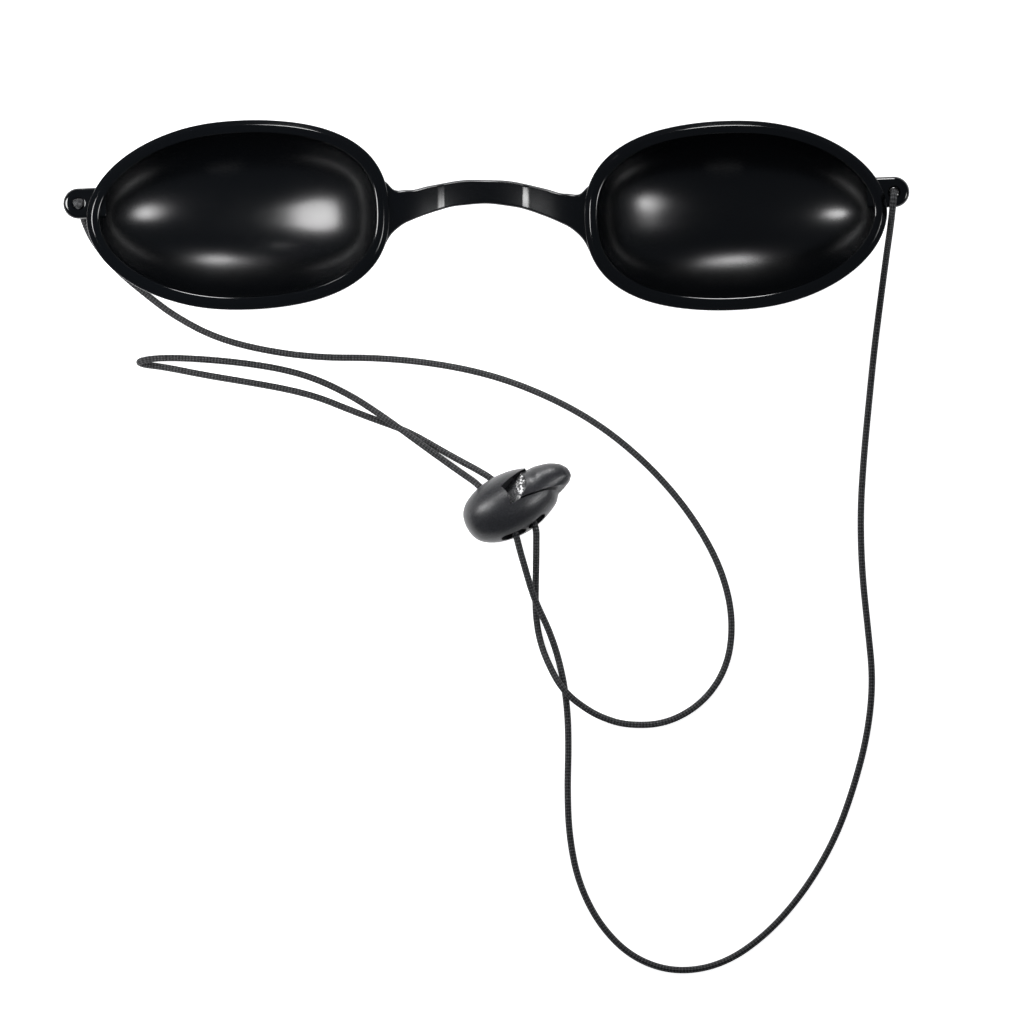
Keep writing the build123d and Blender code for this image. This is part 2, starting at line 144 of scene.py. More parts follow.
RIGHT_ROUTE = (
    (4.75, -53.3, 7.4), (5.6, -56.8, 6.6), (6.6, -60.2, 4.9), (7.6, -63.7, 3.3),
    (8.7, -66.5, 2.4), (10.3, -69.8, 1.5), (11.7, -73.6, 0.8), (12.6, -77.0, 0.6),
    (13.3, -80.6, 0.57), (13.8, -85.4, 0.57), (13.9, -91.0, 0.57), (13.7, -97.6, 0.57),
    (14.0, -105.6, 0.57), (15.6, -113.6, 0.57),
    (19.2, -120.8, 0.57), (24.8, -126.4, 0.57), (32.2, -128.9, 0.57), (40.4, -127.5, 0.57),
    (48.0, -122.2, 0.57), (54.5, -114.6, 0.57), (59.5, -105.9, 0.57), (62.7, -97.0, 0.57),
    (65.0, -88.0, 0.57), (65.9, -79.0, 0.57), (65.0, -70.0, 0.57), (64.0, -60.6, 0.57),
    (63.7, -50.6, 0.57), (64.3, -40.8, 0.57), (65.2, -31.4, 0.57), (66.1, -22.4, 0.57),
    (67.0, -15.2, 1.2), (67.6, -9.8, 3.9), (68.05, -5.4, 7.6), (68.35, -2.4, 11.2),
    (68.6, 0.6, 13.9), (68.75, 2.6, 14.6), (68.97, 4.1, 13.6), (68.97, 3.98, 11.0),
)

# Stopper knots at the tabs, pulled tight
KNOT_STRAND = 0.42            # radius of the squeezed cord in a knot
KNOT_REACH = 0.19             # size that the knot's curve is drawn at
KNOT_POINTS = 72
KNOT_SIDES = 12
KNOT_MIDDLES = {
    "knot_left": (-69.19, 2.02, 13.0),
    "knot_right": (68.97, 3.98, 10.2),
}

# Lock, as it stands in the part: its long axis turned in plan, its exit side rolled up
LOCK_CENTRE = (3.9, -49.05, 5.45)
LOCK_TURN = 28.0
LOCK_ROLL = 24.0
# Its button, in the lock's own frame: X along the button's travel, Z up through the window.
# Stations of the head: place along the lock, middle across it, half thickness
HEAD_STATIONS = (
    (1.2, 0.0, 4.76), (2.4, 0.0, 4.7), (3.73, 0.0, 4.44), (5.2, 0.1, 3.86), (6.3, 0.34, 3.62),
    (7.4, 0.56, 3.22), (8.5, 0.7, 2.8), (9.5, 0.68, 2.42), (10.4, 0.58, 1.95), (11.0, 0.48, 1.5),
    (11.4, 0.38, 1.02), (11.62, 0.3, 0.55), (11.7, 0.26, 0.05),
)
HEAD_RINGS = 90
HEAD_POINTS = 128
# Near edge of the head: a slant from its corner by the jaw, then a round sweep under the roof
HEAD_CORNER = (1.6, -2.0)
HEAD_SLANT_END = (3.5, -0.74)
HEAD_SWEEP_MIDDLE = (4.4, 0.91)
HEAD_SWEEP_END = (4.12, 2.61)
STEM_SIDES = (-2.0, 2.85)
STEM_HALF_HEIGHT = 3.1
STEM_END = -4.2
STEM_SHOULDER = 1.9
STEM_ROOT = 4.45
STEM_SLOT = (0.75, 7.9)       # middle and length of the slot that the cord passes through
SLOT_HEIGHT = 1.9
SLOT_END_STEPS = 16
HEAD_JAW = -1.6               # the head stops short of the housing's jaw and leaves a groove
# Ledge beside the stem that fills the window: ends along the lock, across it and in height
LEDGE_X = (-1.4, 4.5)
LEDGE_Y = (2.4, 4.4)
LEDGE_Z = (2.5, 3.1)
# Where the housing stands against the ledge as the button moves, with room on every side
LEDGE_CUTS = ((0, 0, 0), (-0.1, 0, 0), (0, 0.1, 0), (0, -0.1, 0), (0, 0, 0.1), (0, 0, -0.1),
              (0.45, 0, 0), (0.9, 0, 0), (1.4, 0, 0))
CUT_REACH = 20.0
SWEEP_STEPS = 24
TONGUE_STEPS = 32
LOCK_SHARP_ANGLE = 30
SHIELD_SHARP_ANGLE = 35
WELD_DISTANCE = 0.002

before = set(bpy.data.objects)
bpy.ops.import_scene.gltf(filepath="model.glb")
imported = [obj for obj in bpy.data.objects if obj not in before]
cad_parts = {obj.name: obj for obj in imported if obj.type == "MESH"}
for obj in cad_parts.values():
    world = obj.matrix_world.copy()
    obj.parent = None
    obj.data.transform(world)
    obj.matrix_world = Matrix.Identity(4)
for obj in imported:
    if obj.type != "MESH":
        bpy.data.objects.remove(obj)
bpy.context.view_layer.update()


# Shapes

def smooth_loop(points, count, steps):
    """Points of a closed cubic spline through the given ones, evenly spaced in its parameter."""
    points = np.array(points, float)
    total = len(points)
    system = np.zeros((total, total))
    bend = np.zeros_like(points)
    for here in range(total):
        before, following = here - 1, (here + 1) % total
        system[here, before] = steps[before]
        system[here, here] = 2 * (steps[before] + steps[here])
        system[here, following] = steps[here]
        bend[here] = 6 * (
            (points[following] - points[here]) / steps[here]
            - (points[here] - points[before]) / steps[before]
        )
    second = np.linalg.solve(system, bend)
    knots = np.concatenate([[0], np.cumsum(steps)])
    at = np.linspace(0, knots[-1], count, endpoint=False)
    span = np.searchsorted(knots, at, side="right") - 1
    following = (span + 1) % total
    width = steps[span][:, None]
    right = (at - knots[span])[:, None]
    left = width - right
    return (
        (second[span] * left**3 + second[following] * right**3) / (6 * width)
        + (points[span] / width - second[span] * width / 6) * left
        + (points[following] / width - second[following] * width / 6) * right
    )


def ovoid(inset, share):
    """Outline points of a cup about its own middle; +X is the nose side."""
    points = []
    for step in range(OUTLINE_POINTS):
        turn = 2 * math.pi * step / OUTLINE_POINTS
        across, up = math.cos(turn), math.sin(turn)
        power = 2 / (NOSE_ROUND if across >= 0 else TEMPLE_ROUND)
        length = (CUP_NOSE_LENGTH if across >= 0 else CUP_TEMPLE_LENGTH) - inset
        height = CUP_HALF_HEIGHT - inset
        points.append((
            share * math.copysign(length * abs(across) ** power, across),
            share * math.copysign(height * abs(up) ** power, up),
        ))
    return points


def quarter(steps):
    """Angles from just past nothing to a quarter turn."""
    return [math.pi / 2 * step / steps for step in range(1, steps + 1)]


def rounded(corners, rounds, degrees):
    """Straight runs with an arc at each inner corner, a point at least every so many degrees."""
    corners = [Vector(corner) for corner in corners]
    points = [corners[0]]
    for before, corner, after, radius in zip(corners, corners[1:], corners[2:], rounds):
        into, out = (corner - before).normalized(), (after - corner).normalized()
        turn = math.atan2(into.x * out.y - into.y * out.x, into.dot(out))
        setback = radius * math.tan(abs(turn) / 2)
        centre = corner - into * setback + Vector((-into.y, into.x)) * math.copysign(radius, turn)
        spoke = corner - into * setback - centre
        steps = max(2, math.ceil(abs(math.degrees(turn)) / degrees))
        for step in range(steps + 1):
            swing = turn * step / steps
            points.append(centre + Vector((
                spoke.x * math.cos(swing) - spoke.y * math.sin(swing),
                spoke.x * math.sin(swing) + spoke.y * math.cos(swing),
            )))
    return points + [corners[-1]]


def cup_profile():
    """Rings of a cup, from outside over the rim to inside: inset, share, height."""
    rim_bottom = CUP_DEPTH - RIM_HEIGHT
    shoulder = rim_bottom + RIM_LOWER_ROUND
    rings = []
    meeting = math.asin(RIM_LOWER_ROUND / shoulder)
    for step in range(1, DOME_RINGS + 1):
        angle = math.pi / 2 + (meeting - math.pi / 2) * step / DOME_RINGS
        rings.append((RIM_STEP, math.cos(angle), shoulder * (1 - math.sin(angle))))
    land_end = CUP_DEPTH + RIM_RIDGE_LIFT - RIM_LAND_FALL
    mouth = land_end - 2 * RIM_INNER_ROUND
    rim = rounded(
        (
            (RIM_STEP, rim_bottom),
            (0, rim_bottom),
            (0, CUP_DEPTH - RIM_WALL_DROP),
            (RIM_RIDGE_INSET, CUP_DEPTH + RIM_RIDGE_LIFT),
            (RIM_WIDTH, land_end),
            (RIM_WIDTH, mouth),
        ),
        (RIM_LOWER_ROUND, RIM_WALL_ROUND, RIM_RIDGE_ROUND, RIM_INNER_ROUND),
        ARC_DEGREES,
    )
    rings += [(inset, 1, height) for inset, height in rim[1:-1]]
    hollow = CUP_DEPTH - CUP_FLOOR
    start = math.asin((CUP_DEPTH - mouth) / hollow)
    for step in range(HOLLOW_RINGS):
        angle = start + (math.pi / 2 - start) * step / HOLLOW_RINGS
        share = math.cos(angle) / math.cos(start)
        rings.append((RIM_WIDTH, share, CUP_DEPTH - hollow * math.sin(angle)))
    return rings


def grid_faces(rings, points, first=0):
    """Quads that join closed rings of vertices in order."""
    faces = []
    for ring in range(rings - 1):
        low, high = first + ring * points, first + (ring + 1) * points
        for place in range(points):
            following = (place + 1) % points
            faces.append((low + place, low + following, high + following, high + place))
    return faces


def cup_shell():
    """Vertices and faces of the left cup."""
    outer = np.array(ovoid(0, 1))
    spacing = np.linalg.norm(np.roll(outer, -1, axis=0) - outer, axis=1)
    vertices = []
    profile = cup_profile()
    for inset, share, height in profile:
        for x, y in smooth_loop(ovoid(inset, share), RING_POINTS, spacing):
            vertices.append((x - CUP_SPREAD, y, height))
    faces = grid_faces(len(profile), RING_POINTS)
    for ring, height, below in ((0, 0.0, True), (len(profile) - 1, CUP_FLOOR, False)):
        middle = len(vertices)
        vertices.append((-CUP_SPREAD, 0.0, height))
        for place in range(RING_POINTS):
            a = ring * RING_POINTS + place
            b = ring * RING_POINTS + (place + 1) % RING_POINTS
            faces.append((middle, b, a) if below else (middle, a, b))
    return vertices, faces


def tab_shell():
    """Vertices and faces of the left strap tab: rings from its hole's foot, over and under."""
    count = TAB_POINTS
    top = CUP_DEPTH - TAB_DROP
    bottom = top - TAB_THICKNESS
    rings = []

    def circle(radius, height):
        return [
            (radius * math.cos(turn), radius * math.sin(turn), height)
            for turn in (2 * math.pi * step / count for step in range(count))
        ]

    def outline(inset, height):
        """Round end towards -X, square towards the cup."""
        points = []
        side = TAB_RADIUS - inset
        for step in range(count):
            turn = 2 * math.pi * step / count
            x, y = math.cos(turn), math.sin(turn)
            if x <= 0:
                reach = side
            else:
                reach = min(side / max(abs(y), 1e-6), TAB_BITE / x)
            points.append((reach * x, reach * y, height))
        return points

    sink = TAB_SINK_RADIUS - TAB_HOLE_RADIUS
    rings.append(circle(TAB_HOLE_RADIUS, bottom))
    for angle in [0.0] + quarter(TAB_SINK_STEPS):
        rings.append(circle(
            TAB_SINK_RADIUS - sink * math.cos(angle), top - sink * (1 - math.sin(angle))
        ))
    rings.append(outline(TAB_ROUND, top))
    for angle in quarter(TAB_ROUND_STEPS):
        drop = TAB_ROUND * (1 - math.cos(angle))
        rings.append(outline(TAB_ROUND * (1 - math.sin(angle)), top - drop))
    for angle in reversed([0.0] + quarter(TAB_ROUND_STEPS)[:-1]):
        drop = TAB_ROUND * (1 - math.cos(angle))
        rings.append(outline(TAB_ROUND * (1 - math.sin(angle)), bottom + drop))
    rings.append(rings[0])
    vertices = [
        (x - TAB_REACH, y + TAB_RISE, z) for ring in rings[:-1] for x, y, z in ring
    ]
    faces = grid_faces(len(rings) - 1, count)
    last = (len(rings) - 2) * count
    for place in range(count):
        following = (place + 1) % count
        faces.append((last + place, last + following, following, place))
    return vertices, faces


def ease(share):
    """Smooth step from nothing to one."""
    share = min(max(share, 0.0), 1.0)
    return share * share * (3 - 2 * share)


def bridge_height(x, half_span):
    """Height of the nose strip's middle plane: a gentle arch with a small step on each side."""
    root = CUP_DEPTH - BRIDGE_ROOT_DROP
    arch = math.cos(math.pi / 2 * min(abs(x) / half_span, 1.0)) ** 2
    left, right = BRIDGE_STEP_MIDDLES
    past_left = ease((x - left) / BRIDGE_STEP_LENGTH + 0.5)
    past_right = ease((right - x) / BRIDGE_STEP_LENGTH + 0.5)
    return root - BRIDGE_ARCH * arch - BRIDGE_STEP * (past_left * past_right)


def bridge_shell():
    """Vertices and faces of the nose strip: rounded sections along its arch."""
    half_span = CUP_SPREAD - CUP_NOSE_LENGTH + BRIDGE_BITE
    half = [
        (
            reach * half_span,
            BRIDGE_ROOT_RISE + rise * (BRIDGE_RISE - BRIDGE_ROOT_RISE),
            BRIDGE_HEIGHT + flare * (BRIDGE_FLARE - BRIDGE_HEIGHT),
        )
        for reach, rise, flare in BRIDGE_STATION_SHARES
    ]
    stations = [(-x, y, h) for x, y, h in half] + half[-2::-1]
    smooth = [
        (x, y - BRIDGE_TWIST * x / half_span, bridge_height(x, half_span), height)
        for x, y, height in open_spline(stations, BRIDGE_SECTIONS)
    ]
    vertices = []
    for place, (x, y, z, height) in enumerate(smooth):
        before, after = smooth[max(place - 1, 0)], smooth[min(place + 1, len(smooth) - 1)]
        along = Vector((after[0] - before[0], 0, after[2] - before[2])).normalized()
        normal = Vector((-along.z, 0, along.x))
        for side_y, side_n in ((1, 1), (-1, 1), (-1, -1), (1, -1)):
            centre_y = side_y * (height / 2 - BRIDGE_CORNER)
            centre_n = side_n * (BRIDGE_THICKNESS / 2 - BRIDGE_CORNER)
            for step in range(BRIDGE_CORNER_STEPS + 1):
                turn = math.pi / 2 * step / BRIDGE_CORNER_STEPS
                if side_y * side_n < 0:
                    turn = math.pi / 2 - turn
                off_y = centre_y + side_y * BRIDGE_CORNER * math.cos(turn)
                off_n = centre_n + side_n * BRIDGE_CORNER * math.sin(turn)
                vertices.append((x + normal.x * off_n, y + off_y, z + normal.z * off_n))
    count = 4 * (BRIDGE_CORNER_STEPS + 1)
    faces = grid_faces(len(smooth), count)
    faces.append(tuple(range(count)))
    faces.append(tuple(reversed(range((len(smooth) - 1) * count, len(smooth) * count))))
    return vertices, faces


def open_spline(points, count):
    """Points of a natural cubic spline through the given ones, evenly spaced in its parameter."""
    points = np.array(points, float)
    steps = np.linalg.norm(np.diff(points[:, :2], axis=0), axis=1)
    total = len(points)
    system = np.eye(total)
    bend = np.zeros_like(points)
    for here in range(1, total - 1):
        system[here, here - 1:here + 2] = (
            steps[here - 1], 2 * (steps[here - 1] + steps[here]), steps[here]
        )
        bend[here] = 6 * (
            (points[here + 1] - points[here]) / steps[here]
            - (points[here] - points[here - 1]) / steps[here - 1]
        )
    second = np.linalg.solve(system, bend)
    knots = np.concatenate([[0], np.cumsum(steps)])
    at = np.linspace(0, knots[-1], count)
    span = np.clip(np.searchsorted(knots, at, side="right") - 1, 0, total - 2)
    width = steps[span][:, None]
    right = (at - knots[span])[:, None]
    left = width - right
    return (
        (second[span] * left**3 + second[span + 1] * right**3) / (6 * width)
        + (points[span] / width - second[span] * width / 6) * left
        + (points[span + 1] / width - second[span + 1] * width / 6) * right
    )


def shade(built, sharp_angle):
    """Smooth faces, with sharp edges where they meet at more than an angle."""
    for face in built.faces:
        face.smooth = True
    for edge in built.edges:
        if len(edge.link_faces) == 2:
            edge.smooth = edge.calc_face_angle(0) <= math.radians(sharp_angle)


def make_object(name, shells, sharp_angle):
    """One mesh object from shells of vertices in millimetres, smooth but for its sharp edges."""
    mesh = bpy.data.meshes.new(name)
    built = bmesh.new()
    for vertices, faces in shells:
        made = [built.verts.new(Vector(v) * MM) for v in vertices]
        for face in faces:
            built.faces.new([made[i] for i in face])
    bmesh.ops.recalc_face_normals(built, faces=built.faces)
    shade(built, sharp_angle)
    built.to_mesh(mesh)
    built.free()
    thing = bpy.data.objects.new(name, mesh)
    bpy.context.scene.collection.objects.link(thing)
    return thing


def mirrored(shell):
    """The same shell on the other side of the nose."""
    vertices, faces = shell
    return [(-x, y, z) for x, y, z in vertices], [tuple(reversed(face)) for face in faces]


def in_lock(shell):
    """A shell of the lock's own frame, where the lock lies."""
    vertices, faces = shell
    along, across, up = lock_axes()
    centre = Vector(LOCK_CENTRE)
    return [centre + along * x + across * y + up * z for x, y, z in vertices], faces


def prism(outline, low, high, upright=True):
    """Closed block on a flat outline, seen through the window if upright, else from the side."""
    vertices = [
        (a, b, level) if upright else (a, level, b) for level in (low, high) for a, b in outline
    ]
    count = len(outline)
    faces = [tuple(range(count)), tuple(range(count, 2 * count))]
    for place in range(count):
        following = (place + 1) % count
        faces.append((place, following, count + following, count + place))
    return vertices, faces


def arc_through(start, middle, end, steps):
    """Points of the arc through three points, both ends among them."""
    (ax, ay), (bx, by), (cx, cy) = start, middle, end
    scale = 2 * (ax * (by - cy) + bx * (cy - ay) + cx * (ay - by))
    a2, b2, c2 = ax**2 + ay**2, bx**2 + by**2, cx**2 + cy**2
    x = (a2 * (by - cy) + b2 * (cy - ay) + c2 * (ay - by)) / scale
    y = (a2 * (cx - bx) + b2 * (ax - cx) + c2 * (bx - ax)) / scale
    radius = math.hypot(ax - x, ay - y)
    first, last = math.atan2(ay - y, ax - x), math.atan2(cy - y, cx - x)
    between = math.atan2(by - y, bx - x)
    swing = (last - first) % (2 * math.pi)
    if (between - first) % (2 * math.pi) > swing:
        swing -= 2 * math.pi
    return [
        (x + radius * math.cos(turn), y + radius * math.sin(turn))
        for turn in (first + swing * step / steps for step in range(steps + 1))
    ]


def head_shell():
    """The button's head before its near edge is cut: round sections along the lock."""
    vertices = []
    for x, middle, radius in open_spline(HEAD_STATIONS, HEAD_RINGS):
        for place in range(HEAD_POINTS):
            turn = 2 * math.pi * place / HEAD_POINTS
            vertices.append((x, middle + radius * math.cos(turn), radius * math.sin(turn)))
    faces = grid_faces(HEAD_RINGS, HEAD_POINTS)
    faces.append(tuple(range(HEAD_POINTS)))
    faces.append(tuple(range((HEAD_RINGS - 1) * HEAD_POINTS, HEAD_RINGS * HEAD_POINTS)))
    return vertices, faces


def slot_outline(middle, length, height):
    """Outline of a round-ended slot."""
    reach, radius = (length - height) / 2, height / 2
    ends = []
    for side in (1, -1):
        for step in range(SLOT_END_STEPS + 1):
            turn = math.pi * (step / SLOT_END_STEPS - 0.5) + (0 if side > 0 else math.pi)
            ends.append((middle + side * reach + radius * math.cos(turn), radius * math.sin(turn)))
    return ends


def lock_axes():
    """The lock's own X, Y and Z, as it lies."""
    turn, roll = math.radians(LOCK_TURN), math.radians(LOCK_ROLL)
    along = Vector((math.cos(turn), math.sin(turn), 0))
    up = Vector((
        -math.sin(roll) * math.sin(turn), math.sin(roll) * math.cos(turn), math.cos(roll)
    ))
    return along, up.cross(along), up


def carve(target, tool, operation):
    """Cut the tool from the target, or join it on. The tool is used up."""
    change = target.modifiers.new("carve", "BOOLEAN")
    change.object = tool
    change.operation = operation
    change.solver = "EXACT"
    bpy.context.view_layer.update()
    made = bpy.data.meshes.new_from_object(
        target.evaluated_get(bpy.context.evaluated_depsgraph_get())
    )
    target.modifiers.clear()
    spent = (target.data, tool.data)
    target.data = made
    bpy.data.objects.remove(tool)
    for mesh in spent:
        bpy.data.meshes.remove(mesh)


def block(shell):
    """A tool for carving, from a shell of the lock's own frame."""
    return make_object("tool", [in_lock(shell)], LOCK_SHARP_ANGLE)


def ledge(housing):
    """The stem's ledge in the window, cut clear of the housing."""
    (start, end), (near, far) = LEDGE_X, LEDGE_Y
    corners = [(start, near), (end, near), (end, far), (start, far)]
    piece = block(prism(corners, *LEDGE_Z))
    along, across, up = lock_axes()
    for x, y, z in LEDGE_CUTS:
        wall = bpy.data.objects.new("tool", housing.data.copy())
        bpy.context.scene.collection.objects.link(wall)
        wall.matrix_world = Matrix.Translation(
            (along * x + across * y + up * z) * MM
        ) @ housing.matrix_world
        carve(piece, wall, "DIFFERENCE")
    return piece


def largest_part(built):
    """Leave only the connected part with the most vertices."""
    parts, seen = [], set()
    for first in built.verts:
        if first in seen:
            continue
        part, front = {first}, [first]
        while front:
            for edge in front.pop().link_edges:
                for vertex in edge.verts:
                    if vertex not in part:
                        part.add(vertex)
                        front.append(vertex)
        seen |= part
        parts.append(part)
    kept = max(parts, key=len)
    bmesh.ops.delete(built, geom=[v for v in built.verts if v not in kept], context="VERTS")


def button_skin(housing):
    """The lock's button: a round head, cut back at its near edge, on the cord's stem."""
    button = block(head_shell())
    button.name = "button_skin"
    near_edge = [
        (HEAD_CORNER[0], -CUT_REACH), HEAD_CORNER,
        *arc_through(HEAD_SLANT_END, HEAD_SWEEP_MIDDLE, HEAD_SWEEP_END, SWEEP_STEPS),
        (HEAD_SWEEP_END[0], CUT_REACH), (-CUT_REACH, CUT_REACH), (-CUT_REACH, -CUT_REACH),
    ]
    carve(button, block(prism(near_edge, -CUT_REACH, CUT_REACH)), "DIFFERENCE")
    jaw = [
        (-CUT_REACH, -CUT_REACH), (CUT_REACH, -CUT_REACH),
        (CUT_REACH, HEAD_JAW), (-CUT_REACH, HEAD_JAW),
    ]
    carve(button, block(prism(jaw, -CUT_REACH, CUT_REACH)), "DIFFERENCE")
    shoulder = STEM_END + STEM_SHOULDER
    tongue = arc_through(
        (shoulder, STEM_HALF_HEIGHT), (STEM_END, 0), (shoulder, -STEM_HALF_HEIGHT), TONGUE_STEPS
    )
    tongue += [(STEM_ROOT, -STEM_HALF_HEIGHT), (STEM_ROOT, STEM_HALF_HEIGHT)]
    carve(button, block(prism(tongue, *STEM_SIDES, upright=False)), "UNION")
    slot = slot_outline(*STEM_SLOT, SLOT_HEIGHT)
    carve(button, block(prism(slot, -CUT_REACH, CUT_REACH, upright=False)), "DIFFERENCE")
    carve(button, ledge(housing), "UNION")
    built = bmesh.new()
    built.from_mesh(button.data)
    bmesh.ops.remove_doubles(built, verts=built.verts, dist=WELD_DISTANCE * MM)
    largest_part(built)
    bmesh.ops.recalc_face_normals(built, faces=built.faces)
    shade(built, LOCK_SHARP_ANGLE)
    built.to_mesh(button.data)
    built.free()
    return button


def turned(shell, middle):
    """The same shell turned about a cup's middle, as the cup lies."""
    vertices, faces = shell
    across, up = math.cos(math.radians(CUP_TURN)), math.sin(math.radians(CUP_TURN))
    return [
        (middle + (x - middle) * across - y * up, (x - middle) * up + y * across, z)
        for x, y, z in vertices
    ], faces


def nurbs_line(route):
    """Points of the smooth NURBS line whose control points are the route's, in metres."""
    curve = bpy.data.curves.new("route", "CURVE")
    curve.dimensions = "3D"
    spline = curve.splines.new("NURBS")
    spline.points.add(len(route) - 1)
    for point, place in zip(spline.points, route):
        point.co = (*(Vector(place) * MM), 1)
    spline.order_u = 3
    spline.use_endpoint_u = True
    spline.resolution_u = CORD_SMOOTH
    holder = bpy.data.objects.new("route", curve)
    mesh = bpy.data.meshes.new_from_object(holder)
    line = [v.co.copy() for v in mesh.vertices]
    bpy.data.objects.remove(holder)
    bpy.data.curves.remove(curve)
    bpy.data.meshes.remove(mesh)
    return line


def knot_line(middle):
    """Centre line of an overhand knot pulled tight, in metres."""
    line = []
    for step in range(KNOT_POINTS):
        turn = 2 * math.pi * step / KNOT_POINTS
        line.append((Vector(middle) + KNOT_REACH * Vector((
            math.sin(turn) + 2 * math.sin(2 * turn),
            math.cos(turn) - 2 * math.cos(2 * turn),
            -2 * math.sin(3 * turn),
        ))) * MM)
    return line


def tube(name, line, radius, sides):
    """Round tube along a line, with a UV map in millimetres along it and turns round it."""
    built = bmesh.new()
    uv = built.loops.layers.uv.new("UVMap")
    rings, lengths = [], []
    normal = Vector((0, 0, 1))
    travelled = 0.0
    for place, point in enumerate(line):
        before, after = line[max(place - 1, 0)], line[min(place + 1, len(line) - 1)]
        along = (after - before).normalized()
        normal = (normal - along * normal.dot(along))
        if normal.length < 1e-4:
            normal = along.orthogonal()
        normal.normalize()
        side = along.cross(normal)
        if place:
            travelled += (point - line[place - 1]).length
        lengths.append(travelled / MM)
        rings.append([
            built.verts.new(point + radius * (normal * math.cos(turn) + side * math.sin(turn)))
            for turn in (2 * math.pi * step / sides for step in range(sides))
        ])
    for ring in range(len(rings) - 1):
        for place in range(sides):
            following = (place + 1) % sides
            face = built.faces.new((
                rings[ring][place], rings[ring][following],
                rings[ring + 1][following], rings[ring + 1][place],
            ))
            face.smooth = True
            marks = (
                (lengths[ring], place / sides), (lengths[ring], (place + 1) / sides),
                (lengths[ring + 1], (place + 1) / sides), (lengths[ring + 1], place / sides),
            )
            for loop, mark in zip(face.loops, marks):
                loop[uv].uv = mark
    built.faces.new(list(reversed(rings[0])))
    built.faces.new(rings[-1])
    bmesh.ops.recalc_face_normals(built, faces=built.faces)
    mesh = bpy.data.meshes.new(name)
    built.to_mesh(mesh)
    built.free()
    thing = bpy.data.objects.new(name, mesh)
    bpy.context.scene.collection.objects.link(thing)
    return thing


# Materials

def new_material(name):
    material = bpy.data.materials.new(name)
    material.use_nodes = True
    nodes = material.node_tree.nodes
    return material, nodes, material.node_tree.links, nodes["Principled BSDF"]


def shield_material():
    """Black moulding: satin in the hollows and under them, polished along the rim."""
    material, nodes, links, shader = new_material("shield_black")
    shader.inputs["Base Color"].default_value = (0.001, 0.0013, 0.0018, 1)
    shader.inputs["IOR"].default_value = 1.5
    place = nodes.new("ShaderNodeTexCoord")
    patches = nodes.new("ShaderNodeTexNoise")
    patches.inputs["Scale"].default_value = 260
    patches.inputs["Detail"].default_value = 4
    links.new(place.outputs["Object"], patches.inputs["Vector"])
    span = nodes.new("ShaderNodeMapRange")
    span.inputs["To Min"].default_value = 0.22
    span.inputs["To Max"].default_value = 0.28
    links.new(patches.outputs["Fac"], span.inputs["Value"])
    split = nodes.new("ShaderNodeSeparateXYZ")
    links.new(place.outputs["Object"], split.inputs["Vector"])
    polish = nodes.new("ShaderNodeMapRange")
    polish.inputs["From Min"].default_value = POLISH_START * MM
    polish.inputs["From Max"].default_value = POLISH_END * MM
    polish.inputs["To Min"].default_value = 1
    polish.inputs["To Max"].default_value = 0.36
    links.new(split.outputs["Z"], polish.inputs["Value"])
    finish = nodes.new("ShaderNodeMath")
    finish.operation = "MULTIPLY"
    links.new(span.outputs["Result"], finish.inputs[0])
    links.new(polish.outputs["Result"], finish.inputs[1])
    links.new(finish.outputs[0], shader.inputs["Roughness"])
    grain = nodes.new("ShaderNodeTexNoise")
    grain.inputs["Scale"].default_value = 2600
    grain.inputs["Detail"].default_value = 3
    links.new(place.outputs["Object"], grain.inputs["Vector"])
    bump = nodes.new("ShaderNodeBump")
    bump.inputs["Strength"].default_value = 0.06
    bump.inputs["Distance"].default_value = 0.00003
    links.new(grain.outputs["Fac"], bump.inputs["Height"])
    links.new(bump.outputs["Normal"], shader.inputs["Normal"])
    return material


def lock_material():
    """Finely grained black moulding of the cord lock."""
    material, nodes, links, shader = new_material("lock_black")
    place = nodes.new("ShaderNodeTexCoord")
    grain = nodes.new("ShaderNodeTexNoise")
    grain.inputs["Scale"].default_value = 3000
    grain.inputs["Detail"].default_value = 4
    grain.inputs["Roughness"].default_value = 0.6
    links.new(place.outputs["Object"], grain.inputs["Vector"])
    tone = nodes.new("ShaderNodeValToRGB")
    tone.color_ramp.elements[0].position = 0.35
    tone.color_ramp.elements[0].color = (0.016, 0.016, 0.018, 1)
    tone.color_ramp.elements[1].position = 0.7
    tone.color_ramp.elements[1].color = (0.032, 0.032, 0.035, 1)
    links.new(grain.outputs["Fac"], tone.inputs["Fac"])
    links.new(tone.outputs["Color"], shader.inputs["Base Color"])
    span = nodes.new("ShaderNodeMapRange")
    span.inputs["To Min"].default_value = 0.28
    span.inputs["To Max"].default_value = 0.42
    links.new(grain.outputs["Fac"], span.inputs["Value"])
    links.new(span.outputs["Result"], shader.inputs["Roughness"])
    bump = nodes.new("ShaderNodeBump")
    bump.inputs["Strength"].default_value = 0.35
    bump.inputs["Distance"].default_value = 0.00008
    links.new(grain.outputs["Fac"], bump.inputs["Height"])
    links.new(bump.outputs["Normal"], shader.inputs["Normal"])
    return material


